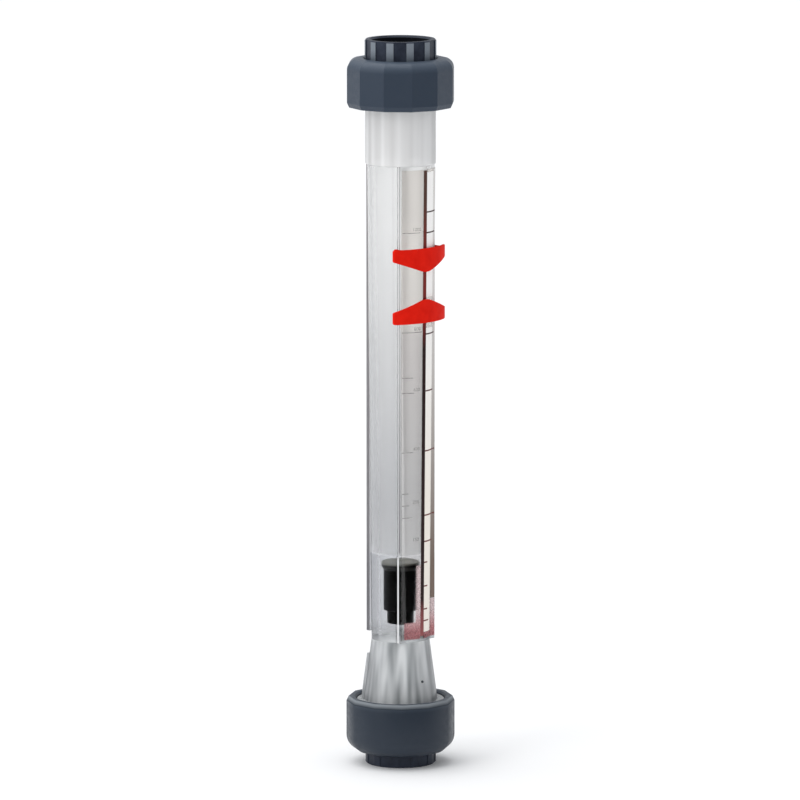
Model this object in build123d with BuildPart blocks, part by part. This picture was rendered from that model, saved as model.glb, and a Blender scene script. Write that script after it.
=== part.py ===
from build123d import *
import os
from math import atan2, cos, degrees, radians, sin, sqrt

os.makedirs("parts", exist_ok=True)

# A clear measuring tube with a tapered bore stands between two unions. A float rides
# up the bore with the flow, and the scale on the tube's front is read at its top edge.
# +Z is the direction of flow, the scale faces -Y, and z = 0 is the lower pipe end.

# Installation sizes
sealing_length = 350.0        # between the two sealing faces of the tube
socket_radius = 16.05         # solvent socket for a pipe of 32 mm
socket_depth = 22.0
socket_web = 3.0              # wall between the socket's stop and the sealing face

# Measuring tube, outside
collar_radius = 23.9          # over the crests of the 1 1/2 inch union thread
collar_length = 10.4
collar_chamfer = 0.8
foot_radius = 20.2            # where the flare leaves the lower collar
flare_knee_radius = 19.5
flare_knee_height = 17.0      # above the lower sealing face
neck_radius = 15.9            # lower end of the measuring cone
neck_height = 44.4            # above the lower sealing face
cone_top_radius = 18.6
head_radius = 19.25
head_length = 43.0            # plain head below the upper sealing face

# Measuring tube, inside
inlet_radius = 13.5
bore_low_radius = 10.9
bore_high_radius = 14.2
head_bore_radius = 14.4
head_bore_step = 2.0          # height of the step between the taper and the head's bore
stop_seat_radius = 15.5       # counterbore that holds a float stop
stop_seat_depth = 3.0
seal_groove_radius = 18.7     # middle of the groove in each end face
seal_groove_width = 3.4
seal_groove_depth = 2.4

# Rails that guide the pointers in front and an add-on switch behind
rail_half_width = 13.05
rail_face = 13.3              # outer face of a rail, from the axis
rail_thickness = 2.4
rear_rail_lift = 4.1          # the rear rail starts this much higher than the front one
channel_floor = 9.6           # floor of the side channel, from the axis
undercut_depth = 0.75         # how far the channel reaches in behind a rail

# Lugs that line up with the rear rail on the flare, and the gate mark of the moulding
lug_height = 25.6
lug_width = 3.4
lug_lift = 1.3
pip_radius = 0.8
pip_lift = 0.5
pip_height = 22.5             # above the lower sealing face
pip_turn = -5.0               # degrees from the middle of the scale

# Scale film, over the cone and the faces of the front rails
film_thickness = 0.3
film_gap = 0.1
film_side_margin = 0.35       # from the rails' corners
film_low_margin = 1.6         # from the cone's lower end
film_high_margin = 2.0        # from the shoulder

# Union ends
spigot_wall = 3.45            # round the socket
spigot_chamfer = 0.7
flange_lip = 2.7              # how far the flange stands out round the spigot
flange_thickness = 5.0
port_radius = 12.5
land_count = 11
land_angle = 12.0             # degrees of the outside that each raised land covers
land_turn = -12.2             # degrees from +X to the first land
recess_depth = 0.75
recess_length = 11.4
socket_lead_in = 1.0

# Union nuts, the lower one taller than the upper one
nut_sides = 12
nut_across_flats = 57.5
nut_overlap = 12.0            # from the sealing face to the nut's mouth
nut_bevel_width = 1.2         # of the mouth's outer edge
nut_bevel_height = 2.6
nut_mouth_chamfer = 1.0
nut_running_gap = 0.4         # on the spigot and on the thread
nut_shoulder_gap = 0.3        # behind the flange
lower_nut_height = 30.5
lower_nut_rounding = 9.0      # of the end that points away from the tube
lower_nut_turn = 17.0         # degrees from +X to a corner of the tightened nut
upper_nut_height = 26.6
upper_nut_rounding = 6.0
upper_nut_turn = 2.0

# Seals and float stops
seal_side_gap = 0.1
seal_corner = 0.7
stop_fit = 0.1
stop_ring_width = 2.5
stop_vane_count = 3
stop_vane_thickness = 1.8
stop_vane_root = 0.4          # how far a vane runs into the ring
stop_vane_gap = 1.0           # between a vane and the bore
stop_vane_tip = 4.2           # radius of a vane's inner end, beside the pin
stop_pin_radius = 2.6
stop_pin_chamfer = 0.8
lower_vane_length = 36.0
lower_pin_length = 52.7
upper_vane_length = 10.0
upper_pin_length = 14.0

# Float
float_rest_gap = 0.2          # above the lower stop's pin
float_tail_radius = 7.3
float_tail_length = 7.4
float_body_radius = 9.3
float_body_length = 22.7
float_head_radius = 10.5      # the reading edge
float_head_height = 2.4
float_skirt_height = 1.8
float_edge = 0.5
float_wall = 2.7              # round the ballast
float_floor = 8.4
ballast_fit = 0.1
plug_length = 3.0             # the head's spigot, in the body's mouth

# Pointers
pointer_half_width = 19.3
pointer_height = 13.6         # to the sharp tip, before it is rounded
pointer_end_height = 6.6
pointer_thickness = 1.2
pointer_arch_radius = 36.0
pointer_film_gap = 0.35       # between a pointer and the film's upper end
pointer_corner = 1.0
pointer_tip_round = 10.0
clip_gap = 0.3                # beside a rail
clip_thickness = 1.4
clip_height = 6.0
clip_reach = 0.35             # between the clip's end and the channel's floor
lip_thickness = 0.65
lip_gap = 0.2                 # between a lip and the undercut's side
lower_pointer_edge = 246.3    # straight edge of the pointer that points up
upper_pointer_edge = 287.2    # straight edge of the pointer that points down

# Places along the axis that follow from the sizes above
lower_face = socket_depth + socket_web
upper_face = lower_face + sealing_length
neck = lower_face + neck_height
shoulder = upper_face - head_length
taper_length = shoulder - neck
rail_back = rail_face - rail_thickness
rail_middle = rail_face - rail_thickness / 2

# Both ends carry the same pieces. Each is made with its sealing face at z = 0 and the
# tube above it, and is then set on either end.
ends = {
    "lower": Location((0, 0, lower_face)),
    "upper": Location((0, 0, upper_face), (180, 0, 0)),
}


def cone_radius(z):
    """Outer radius of the measuring cone at a height."""
    return neck_radius + (cone_top_radius - neck_radius) * (z - neck) / taper_length


def flare_radius(height):
    """Outer radius of the flare between its knee and the neck."""
    share = (height - flare_knee_height) / (neck_height - flare_knee_height)
    return flare_knee_radius + (neck_radius - flare_knee_radius) * share


def upright(turn):
    """Upright plane through the axis whose x runs outwards at an angle from +X."""
    across = radians(turn)
    return Plane((0, 0, 0), x_dir=(cos(across), sin(across), 0), z_dir=(sin(across), -cos(across), 0))


def export_at_both_ends(form, name):
    """Write one piece for the lower end and one for the upper end."""
    for end, place in ends.items():
        piece = place * form
        piece.label = f"{end}_{name}"
        export_step(piece, f"parts/{piece.label}.step")


# Lug below a rear rail: a strip that follows the flare and has a round top
with BuildPart() as rear_lug:
    with BuildSketch(Plane.XZ):
        with BuildLine():
            Polyline(
                (inlet_radius, lower_face + collar_length),
                (foot_radius + lug_lift, lower_face + collar_length),
                (flare_knee_radius + lug_lift, lower_face + flare_knee_height),
                (neck_radius + lug_lift, neck),
                (inlet_radius, neck),
                close=True,
            )
        make_face()
    extrude(amount=lug_width / 2, both=True)
    with BuildSketch(Plane.YZ):
        with Locations((0, lower_face + collar_length)):
            SlotOverall(2 * lug_height, lug_width, rotation=90)
    extrude(amount=collar_radius, mode=Mode.INTERSECT)

# Measuring tube: one clear moulding, with the thread collars at its ends
with BuildPart() as measuring_tube:
    with BuildSketch(Plane.XZ):
        with BuildLine():
            Polyline(
                (0, lower_face),
                (collar_radius - collar_chamfer, lower_face),
                (collar_radius, lower_face + collar_chamfer),
                (collar_radius, lower_face + collar_length),
                (foot_radius, lower_face + collar_length),
                (flare_knee_radius, lower_face + flare_knee_height),
                (neck_radius, neck),
                (cone_top_radius, shoulder),
                (head_radius, shoulder),
                (head_radius, upper_face - collar_length),
                (collar_radius, upper_face - collar_length),
                (collar_radius, upper_face - collar_chamfer),
                (collar_radius - collar_chamfer, upper_face),
                (0, upper_face),
                close=True,
            )
        make_face()
    revolve(axis=Axis.Z)
    # The rails stand out of the thin end of the cone and run into its thick end
    for side, start in ((-1, neck), (1, neck + rear_rail_lift)):
        with BuildSketch(Plane.XY.offset(start)):
            with Locations((0, side * rail_middle)):
                Rectangle(2 * rail_half_width, rail_thickness)
        extrude(amount=shoulder - start)
    # Channels beside the rails, each with an undercut behind the rail
    with BuildSketch(Plane.XY.offset(neck)):
        with BuildLine():
            Polyline(
                (rail_half_width, -collar_radius),
                (rail_half_width, -rail_back),
                (rail_half_width - undercut_depth, -rail_back),
                (rail_half_width - undercut_depth, -channel_floor),
                (collar_radius, -channel_floor),
                (collar_radius, -collar_radius),
                close=True,
            )
        make_face()
        mirror(about=Plane.YZ)
        mirror(about=Plane.XZ)
    extrude(amount=taper_length, mode=Mode.SUBTRACT)
    # Lugs below the rear rail's edges, and the gate mark low on the flare
    lug_turn = degrees(atan2(rail_middle, rail_half_width))
    for turn in (lug_turn, 180 - lug_turn):
        with Locations(Location((0, 0, 0), (0, 0, turn))):
            add(rear_lug.part)
    pip_way = radians(pip_turn)
    pip_plane = Plane((0, 0, lower_face + pip_height), z_dir=(sin(pip_way), -cos(pip_way), 0))
    with BuildSketch(pip_plane):
        Circle(pip_radius)
    extrude(amount=flare_radius(pip_height) + pip_lift)
    # Bore: inlet, long measuring taper, outlet, and a seat for a float stop at each end
    with BuildSketch(Plane.XZ):
        with BuildLine():
            Polyline(
                (0, lower_face),
                (stop_seat_radius, lower_face),
                (stop_seat_radius, lower_face + stop_seat_depth),
                (inlet_radius, lower_face + stop_seat_depth),
                (inlet_radius, lower_face + flare_knee_height),
                (bore_low_radius, neck),
                (bore_high_radius, shoulder),
                (head_bore_radius, shoulder + head_bore_step),
                (head_bore_radius, upper_face - stop_seat_depth),
                (stop_seat_radius, upper_face - stop_seat_depth),
                (stop_seat_radius, upper_face),
                (0, upper_face),
                close=True,
            )
        make_face()
    revolve(axis=Axis.Z, mode=Mode.SUBTRACT)
    # Seal groove in each end face
    with BuildSketch(Plane.XZ):
        for groove_middle in (lower_face + seal_groove_depth / 2, upper_face - seal_groove_depth / 2):
            with Locations((seal_groove_radius, groove_middle)):
                Rectangle(seal_groove_width, seal_groove_depth)
    revolve(axis=Axis.Z, mode=Mode.SUBTRACT)
measuring_tube.part.label = "measuring_tube"
export_step(measuring_tube.part, "parts/measuring_tube.step")

# Scale film: a printed strip that wraps the front of the cone and the front rails. It is
# the space between two skins that follow both forms.
film_low = neck + film_low_margin
film_high = shoulder - film_high_margin
film_length = film_high - film_low
film_half_width = rail_half_width - film_side_margin
with BuildPart() as scale_film:
    for skin, effect in ((film_gap + film_thickness, Mode.ADD), (film_gap, Mode.SUBTRACT)):
        with BuildSketch(Plane.XZ):
            with BuildLine():
                Polyline(
                    (0, film_low),
                    (cone_radius(film_low) + skin, film_low),
                    (cone_radius(film_high) + skin, film_high),
                    (0, film_high),
                    close=True,
                )
            make_face()
        revolve(axis=Axis.Z, mode=effect)
        with BuildSketch(Plane.XY.offset(film_low)):
            Rectangle(2 * rail_half_width, 2 * (rail_face + skin))
        extrude(amount=film_length, mode=effect)
    with BuildSketch(Plane.XY.offset(film_low)):
        with Locations((0, -collar_radius / 2)):
            Rectangle(2 * film_half_width, collar_radius)
    extrude(amount=film_length, mode=Mode.INTERSECT)
scale_film.part.label = "scale_film"
export_step(scale_film.part, "parts/scale_film.step")

# Union end: a pipe socket with a flange that the nut pulls against the tube
pipe_end = -lower_face
spigot_radius = socket_radius + spigot_wall
flange_radius = spigot_radius + flange_lip
with BuildPart() as end_connector:
    with BuildSketch(Plane.XZ):
        with BuildLine():
            Polyline(
                (socket_radius + socket_lead_in, pipe_end),
                (spigot_radius - spigot_chamfer, pipe_end),
                (spigot_radius, pipe_end + spigot_chamfer),
                (spigot_radius, -flange_thickness),
                (flange_radius, -flange_thickness),
                (flange_radius, 0),
                (port_radius, 0),
                (port_radius, -socket_web),
                (socket_radius, -socket_web),
                (socket_radius, pipe_end + socket_lead_in),
                close=True,
            )
        make_face()
    revolve(axis=Axis.Z)
    # Flat recesses between narrow lands, for a grip while the pipe is cemented in
    land_step = 360 / land_count
    recess_width = 2 * spigot_radius * sin(radians((land_step - land_angle) / 2))
    with BuildSketch(Plane.XY.offset(pipe_end)):
        with PolarLocations(spigot_radius, land_count, start_angle=land_turn + land_step / 2):
            Rectangle(2 * recess_depth, recess_width)
    extrude(amount=recess_length, mode=Mode.SUBTRACT)
export_at_both_ends(end_connector.part, "end_connector")

# Union nuts: twelve flats, rounded towards the pipe and open over the tube's collar
nut_corner_radius = nut_across_flats / 2 / cos(radians(180 / nut_sides))
nut_shoulder = -flange_thickness - nut_shoulder_gap
chamber_radius = collar_radius + nut_running_gap


def make_union_nut(height, rounding):
    """Nut whose mouth reaches over the sealing face, with its back end over the spigot."""
    nut_back = nut_overlap - height
    with BuildPart() as nut:
        with BuildSketch(Plane.XY.offset(nut_back)):
            RegularPolygon(nut_corner_radius, nut_sides)
        extrude(amount=height)
        fillet(nut.edges().group_by(Axis.Z)[0], rounding)
        mouth_face = nut.faces().sort_by(Axis.Z)[-1]
        chamfer(mouth_face.edges(), nut_bevel_width, nut_bevel_height, reference=mouth_face)
        # Hole for the spigot, and the chamber that takes the flange and the thread
        with BuildSketch(Plane.XZ):
            with BuildLine():
                Polyline(
                    (0, nut_back),
                    (spigot_radius + nut_running_gap, nut_back),
                    (spigot_radius + nut_running_gap, nut_shoulder),
                    (chamber_radius, nut_shoulder),
                    (chamber_radius, nut_overlap - nut_mouth_chamfer),
                    (chamber_radius + nut_mouth_chamfer, nut_overlap),
                    (0, nut_overlap),
                    close=True,
                )
            make_face()
        revolve(axis=Axis.Z, mode=Mode.SUBTRACT)
    return nut.part


nut_forms = {
    "lower": (make_union_nut(lower_nut_height, lower_nut_rounding), lower_nut_turn),
    "upper": (make_union_nut(upper_nut_height, upper_nut_rounding), upper_nut_turn),
}
for end, (form, turn) in nut_forms.items():
    nut = ends[end] * Location((0, 0, 0), (0, 0, turn)) * form
    nut.label = f"{end}_union_nut"
    export_step(nut, f"parts/{nut.label}.step")

# Seal: a rubber ring that the flange presses into the groove of the end face
with BuildPart() as seal_ring:
    with BuildSketch(Plane.XZ):
        with Locations((seal_groove_radius, seal_groove_depth / 2)):
            section = Rectangle(seal_groove_width - 2 * seal_side_gap, seal_groove_depth)
        chamfer(section.vertices(), seal_corner)
    revolve(axis=Axis.Z)
export_at_both_ends(seal_ring.part, "seal_ring")


def make_float_stop(vane_length, pin_length):
    """Ring that sits in the tube's end, with vanes that hold a pin in the bore's middle."""
    ring_radius = stop_seat_radius - stop_fit
    ring_bore = ring_radius - stop_ring_width
    with BuildPart() as stop:
        with BuildSketch():
            Circle(ring_radius)
            Circle(ring_bore, mode=Mode.SUBTRACT)
        extrude(amount=stop_seat_depth)
        for vane in range(stop_vane_count):
            with BuildSketch(upright(90 + vane * 360 / stop_vane_count)):
                with BuildLine():
                    Polyline(
                        (0, 0),
                        (ring_bore + stop_vane_root, 0),
                        (ring_bore + stop_vane_root, stop_seat_depth),
                        (inlet_radius - stop_vane_gap, stop_seat_depth),
                        (stop_vane_tip, vane_length),
                        (0, vane_length),
                        close=True,
                    )
                make_face()
            extrude(amount=stop_vane_thickness / 2, both=True)
        with BuildSketch():
            Circle(stop_pin_radius)
        extrude(amount=pin_length)
        chamfer(stop.edges().filter_by(GeomType.CIRCLE).sort_by(Axis.Z)[-1], stop_pin_chamfer)
    return stop.part


stop_lengths = {
    "lower": (lower_vane_length, lower_pin_length),
    "upper": (upper_vane_length, upper_pin_length),
}
for end, (vane_length, pin_length) in stop_lengths.items():
    float_stop = ends[end] * make_float_stop(vane_length, pin_length)
    float_stop.label = f"{end}_float_stop"
    export_step(float_stop, f"parts/{float_stop.label}.step")

# Float: a turned body with a heavy core, closed by the head that carries the reading edge
tail_end = lower_face + lower_pin_length + float_rest_gap
body_start = tail_end + float_tail_length
head_seat = body_start + float_body_length
head_edge = head_seat + float_skirt_height
float_top = head_edge + float_head_height
cavity_radius = float_body_radius - float_wall
cavity_floor = tail_end + float_floor
with BuildPart() as float_body:
    with BuildSketch(Plane.XZ):
        with BuildLine():
            Polyline(
                (0, tail_end),
                (float_tail_radius - float_edge, tail_end),
                (float_tail_radius, tail_end + float_edge),
                (float_tail_radius, body_start),
                (float_body_radius - float_edge, body_start),
                (float_body_radius, body_start + float_edge),
                (float_body_radius, head_seat),
                (cavity_radius, head_seat),
                (cavity_radius, cavity_floor),
                (0, cavity_floor),
                close=True,
            )
        make_face()
    revolve(axis=Axis.Z)
float_body.part.label = "float_body"
export_step(float_body.part, "parts/float_body.step")

with BuildPart() as float_head:
    with BuildSketch(Plane.XZ):
        with BuildLine():
            Polyline(
                (0, head_seat - plug_length),
                (cavity_radius - ballast_fit, head_seat - plug_length),
                (cavity_radius - ballast_fit, head_seat),
                (float_body_radius, head_seat),
                (float_head_radius, head_edge),
                (float_head_radius, float_top - float_edge),
                (float_head_radius - float_edge, float_top),
                (0, float_top),
                close=True,
            )
        make_face()
    revolve(axis=Axis.Z)
float_head.part.label = "float_head"
export_step(float_head.part, "parts/float_head.step")

with BuildPart() as float_ballast:
    with BuildSketch(Plane.XY.offset(cavity_floor)):
        Circle(cavity_radius - ballast_fit)
    extrude(amount=head_seat - plug_length - cavity_floor)
float_ballast.part.label = "float_ballast"
export_step(float_ballast.part, "parts/float_ballast.step")

# Pointer: an arched strip over the scale, clipped behind both front rails. It is made
# with its straight edge at z = 0 and its tip above, and is turned over for the upper one.
pointer_front = cone_top_radius + film_gap + film_thickness + pointer_film_gap + pointer_thickness
arch_centre = pointer_arch_radius - pointer_front
clip_inside = rail_half_width + clip_gap
clip_outside = clip_inside + clip_thickness
clip_end = channel_floor + clip_reach
clip_middle = (clip_inside + clip_outside) / 2
clip_root = sqrt((pointer_arch_radius - pointer_thickness / 2) ** 2 - clip_middle**2) - arch_centre
with BuildPart() as pointer:
    with BuildSketch(Plane.XY.offset(-pointer_corner)):
        with Locations((0, arch_centre)):
            Circle(pointer_arch_radius)
            Circle(pointer_arch_radius - pointer_thickness, mode=Mode.SUBTRACT)
        with Locations((0, -pointer_front)):
            Rectangle(2 * pointer_arch_radius, 2 * (pointer_front - channel_floor), mode=Mode.INTERSECT)
    extrude(amount=pointer_height + 2 * pointer_corner)
    with BuildSketch(Plane.XZ) as outline:
        with BuildLine():
            Polyline(
                (-pointer_half_width, 0),
                (pointer_half_width, 0),
                (pointer_half_width, pointer_end_height),
                (0, pointer_height),
                (-pointer_half_width, pointer_end_height),
                close=True,
            )
        make_face()
        fillet(outline.vertices().sort_by(Axis.Y)[:-1], pointer_corner)
        fillet(outline.vertices().sort_by(Axis.Y)[-1], pointer_tip_round)
    extrude(amount=2 * pointer_front, mode=Mode.INTERSECT)
    with BuildSketch():
        with BuildLine():
            Polyline(
                (rail_half_width - undercut_depth + lip_gap, -clip_end),
                (clip_outside, -clip_end),
                (clip_outside, -clip_root),
                (clip_inside, -clip_root),
                (clip_inside, -clip_end - lip_thickness),
                (rail_half_width - undercut_depth + lip_gap, -clip_end - lip_thickness),
                close=True,
            )
        make_face()
        mirror(about=Plane.YZ)
    extrude(amount=clip_height)

pointer_places = {
    "lower_pointer": Location((0, 0, lower_pointer_edge)),
    "upper_pointer": Location((0, 0, upper_pointer_edge), (0, 180, 0)),
}
for name, place in pointer_places.items():
    piece = place * pointer.part
    piece.label = name
    export_step(piece, f"parts/{name}.step")
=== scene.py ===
from math import atan2, cos, pi, radians, sin, sqrt

import bmesh
import bpy
from mathutils import Matrix, Vector


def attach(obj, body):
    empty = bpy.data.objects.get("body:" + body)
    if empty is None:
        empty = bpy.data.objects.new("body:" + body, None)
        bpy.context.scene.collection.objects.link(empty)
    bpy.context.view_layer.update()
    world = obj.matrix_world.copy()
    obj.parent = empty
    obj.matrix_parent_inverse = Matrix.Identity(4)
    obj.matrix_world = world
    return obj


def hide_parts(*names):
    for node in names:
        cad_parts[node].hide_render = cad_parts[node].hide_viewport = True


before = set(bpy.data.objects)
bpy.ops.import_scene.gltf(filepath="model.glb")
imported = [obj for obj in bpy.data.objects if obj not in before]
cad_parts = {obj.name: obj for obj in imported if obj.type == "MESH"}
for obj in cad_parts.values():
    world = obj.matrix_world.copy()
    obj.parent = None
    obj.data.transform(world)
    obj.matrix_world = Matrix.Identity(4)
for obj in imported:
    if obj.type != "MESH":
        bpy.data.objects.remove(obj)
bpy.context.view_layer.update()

# Camera. It stands far back from the meter's left front corner with a long lens, a little
# above the top, so that the scale is seen at a slant on the right half of the tube.
camera_place = Vector((-2.7547, -2.8323, 0.8259))
camera_target = Vector((-0.0002, 0.0002, 0.2015))


def look_along(direction):
    """Turn of a camera or lamp that faces along a direction."""
    return Vector(direction).to_track_quat("-Z", "Y").to_euler()


camera = bpy.data.objects.new("camera", bpy.data.cameras.new("camera"))
camera.data.sensor_width = 36.0
camera.data.lens = 329.2
camera.data.clip_end = 60.0
camera.location = camera_place
camera.rotation_euler = look_along(camera_target - camera_place)
bpy.context.scene.collection.objects.link(camera)
bpy.context.scene.camera = camera

# Studio. A white floor runs far behind the meter under a pale sky. A high sun lamp lights it
# evenly, and a large soft lamp stands on the left. A dark card in front, which only the
# reflections and the clear tube see, keeps the black and grey plastic deep.
mm = 0.001
floor_reach = 30.0
card_half_width, card_foot, card_top = 0.9, 0.002, 0.8
card_place, card_turn = (-0.19, -0.2, 0), -44
sun_direction = (0.2, -0.3, -1.0)
lamp_place, lamp_target = Vector((-1.9, 0.1, 1.1)), Vector((0, 0, 0.2))


def smooth(mesh, sharp):
    """Shade a mesh smooth, except over edges that are sharper than an angle in degrees."""
    mesh.shade_smooth()
    mesh.set_sharp_from_angle(angle=radians(sharp))


def link_form(name, form, *finishes, sharp=32):
    """Turn a bmesh into an object in the scene, smooth except over its sharp edges."""
    mesh = bpy.data.meshes.new(name)
    form.to_mesh(mesh)
    form.free()
    smooth(mesh, sharp)
    for finish in finishes:
        mesh.materials.append(finish)
    piece = bpy.data.objects.new(name, mesh)
    bpy.context.scene.collection.objects.link(piece)
    return piece


def rotate(form, angle, axis, verts=None):
    """Turn a form, or only some of its vertices, about an axis through the origin."""
    bmesh.ops.rotate(form, verts=verts or form.verts, matrix=Matrix.Rotation(angle, 3, axis))


def make_finish(name, **sockets):
    """Material with a principled shader, whose sockets are named with underscores."""
    finish = bpy.data.materials.new(name)
    finish.use_nodes = True
    shader = finish.node_tree.nodes["Principled BSDF"]
    for socket, value in sockets.items():
        shader.inputs[socket.replace("_", " ")].default_value = value
    return finish


def mottle(finish, size, stretch=(1, 1, 1), detail=3.0):
    """Noise in the object's own space, with blotches of a size in metres."""
    nodes, links = finish.node_tree.nodes, finish.node_tree.links
    place = nodes.new("ShaderNodeTexCoord")
    scale = nodes.new("ShaderNodeMapping")
    scale.inputs["Scale"].default_value = [1 / (size * s) for s in stretch]
    noise = nodes.new("ShaderNodeTexNoise")
    noise.inputs["Scale"].default_value = 1.0
    noise.inputs["Detail"].default_value = detail
    links.new(place.outputs["Object"], scale.inputs["Vector"])
    links.new(scale.outputs["Vector"], noise.inputs["Vector"])
    return noise.outputs["Fac"]


def vary(finish, factor, socket, low, high):
    """Let the middle range of a factor move a socket of the shader between two values."""
    nodes, links = finish.node_tree.nodes, finish.node_tree.links
    spread = nodes.new("ShaderNodeMapRange")
    spread.inputs["From Min"].default_value = 0.3
    spread.inputs["From Max"].default_value = 0.7
    spread.inputs["To Min"].default_value = low
    spread.inputs["To Max"].default_value = high
    links.new(factor, spread.inputs["Value"])
    links.new(spread.outputs["Result"], nodes["Principled BSDF"].inputs[socket])


floor_paint = make_finish(
    "floor_paint", Base_Color=(0.93, 0.935, 0.94, 1), Specular_IOR_Level=0.2,
)
vary(floor_paint, mottle(floor_paint, 120 * mm), "Roughness", 0.66, 0.74)
form = bmesh.new()
bmesh.ops.create_grid(form, x_segments=2, y_segments=2, size=floor_reach)
floor = link_form("floor", form, floor_paint)

card_paint = make_finish(
    "card_paint", Base_Color=(0.03, 0.03, 0.032, 1), Roughness=0.9, Specular_IOR_Level=0.0,
)
form = bmesh.new()
bmesh.ops.create_grid(form, x_segments=1, y_segments=1, size=0.5)
bmesh.ops.scale(form, verts=form.verts, vec=(2 * card_half_width, card_top - card_foot, 1))
bmesh.ops.translate(form, verts=form.verts, vec=(0, (card_foot + card_top) / 2, 0))
rotate(form, pi / 2, "X")
rotate(form, radians(card_turn), "Z")
bmesh.ops.translate(form, verts=form.verts, vec=card_place)
card = link_form("front_card", form, card_paint)
card.visible_camera = card.visible_diffuse = False
card.visible_volume_scatter = card.visible_shadow = False

world = bpy.data.worlds.new("studio")
bpy.context.scene.world = world
world.use_nodes = True
backdrop = world.node_tree.nodes["Background"]
backdrop.inputs["Color"].default_value = (0.97, 0.98, 1.0, 1)
backdrop.inputs["Strength"].default_value = 0.66

sun = bpy.data.objects.new("sun_lamp", bpy.data.lights.new("sun_lamp", "SUN"))
sun.data.energy = 1.55
sun.data.angle = radians(70)
sun.rotation_euler = look_along(sun_direction)
bpy.context.scene.collection.objects.link(sun)

lamp = bpy.data.objects.new("main_lamp", bpy.data.lights.new("main_lamp", "AREA"))
lamp.data.shape = "RECTANGLE"
lamp.data.size, lamp.data.size_y = 0.9, 1.2
lamp.data.energy = 9
lamp.location = lamp_place
lamp.rotation_euler = look_along(lamp_target - lamp_place)
bpy.context.scene.collection.objects.link(lamp)
bpy.context.scene.view_settings.view_transform = "Standard"

# Measuring tube. One clear, rigid moulding of PVC-U: a tapered bore in a slightly tapered
# outside, flat rails in front and behind, undercut side channels, and a thread collar at
# each end. It carries the part's whole length between the two unions.
lower_face, upper_face = 25.0, 375.0
flare_bend, neck, shoulder = 42.0, 69.4, 332.0
collar_radius, collar_length = 23.9, 10.4
thread_pitch, thread_depth, thread_start, thread_ridges = 2.31, 1.3, 0.9, 4
ridge_profile = ((thread_depth, 0), (0, 0.85), (0, 1.15), (thread_depth, 2.0))
neck_radius, cone_top_radius = 15.9, 18.6
head_radius, head_edge = 19.25, 0.3
flare = ((20.2, lower_face + collar_length), (19.5, flare_bend), (neck_radius, neck))
rail_half_width, rail_face, rail_back = 13.05, 13.3, 10.9
rail_middle = (rail_face + rail_back) / 2
rear_rail_start = neck + 4.1
channel_floor, undercut = 9.6, 0.75
overshoot = 1.0
tube_facets = 360


def turned(outline, facets=tube_facets):
    """Solid turned round the axis from an outline of (radius, height) in millimetres."""
    form = bmesh.new()
    corners = [form.verts.new((r * mm, 0, z * mm)) for r, z in outline]
    edges = [form.edges.new(pair) for pair in zip(corners, corners[1:])]
    if outline[0][0] > 0:
        edges.append(form.edges.new((corners[-1], corners[0])))
    bmesh.ops.spin(
        form, geom=corners + edges, cent=(0, 0, 0), axis=(0, 0, 1), angle=2 * pi, steps=facets,
        use_merge=True,
    )
    bmesh.ops.remove_doubles(form, verts=form.verts, dist=1e-7)
    bmesh.ops.recalc_face_normals(form, faces=form.faces)
    return form


def block(low, high):
    """Box between two corners in millimetres."""
    form = bmesh.new()
    bmesh.ops.create_cube(form, size=1)
    size = [(b - a) * mm for a, b in zip(low, high)]
    middle = [(a + b) / 2 * mm for a, b in zip(low, high)]
    bmesh.ops.scale(form, verts=form.verts, vec=size)
    bmesh.ops.translate(form, verts=form.verts, vec=middle)
    return form


def combine(body, form, way):
    """Join a form to a body, or cut it away, and keep the result as the body's mesh."""
    tool = link_form("tool", form)
    step = body.modifiers.new(way.lower(), "BOOLEAN")
    step.object, step.operation, step.solver = tool, way, "EXACT"
    view = bpy.context.evaluated_depsgraph_get()
    made = bpy.data.meshes.new_from_object(body.evaluated_get(view))
    body.modifiers.clear()
    body.data = made
    bpy.data.objects.remove(tool)


def divide(form, place, across, **options):
    """Divide a whole form along a plane, and return what lies on the cut."""
    return bmesh.ops.bisect_plane(
        form, geom=[*form.verts, *form.edges, *form.faces], dist=1e-8, plane_co=place,
        plane_no=across, **options,
    )["geom_cut"]


def pick(geometry, kind):
    """Those of an operator's results that are vertices, edges or faces."""
    return [g for g in geometry if isinstance(g, kind)]


def round_off(form, geometry, width, steps, affect="EDGES"):
    """Round edges or corners of a form over a width in millimetres."""
    bmesh.ops.bevel(
        form, geom=geometry, offset=width * mm, offset_type="OFFSET", segments=steps,
        profile=0.5, affect=affect, material=-1,
    )


def ridged_collar(end, away):
    """Outline of a thread collar with its ridges, from its end face towards the middle."""
    points = [(collar_radius - thread_depth, end)]
    for ridge in range(thread_ridges):
        low = end + away * (thread_start + ridge * thread_pitch)
        points += [(collar_radius - depth, low + away * rise) for depth, rise in ridge_profile]
    points.append((collar_radius, end + away * collar_length))
    return points


def flare_radius(z):
    """Outside radius of the flare at a height."""
    (r, low), (next_r, high) = flare[:2] if z < flare_bend else flare[1:]
    return r + (next_r - r) * (z - low) / (high - low)


def height_share(finish, low, high):
    """Factor that goes from 0 to 1 between two heights in millimetres."""
    nodes, links = finish.node_tree.nodes, finish.node_tree.links
    place = nodes.new("ShaderNodeTexCoord")
    parts = nodes.new("ShaderNodeSeparateXYZ")
    share = nodes.new("ShaderNodeMapRange")
    share.inputs["From Min"].default_value = low * mm
    share.inputs["From Max"].default_value = high * mm
    links.new(place.outputs["Object"], parts.inputs["Vector"])
    links.new(parts.outputs["Z"], share.inputs["Value"])
    return share.outputs["Result"]


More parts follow.
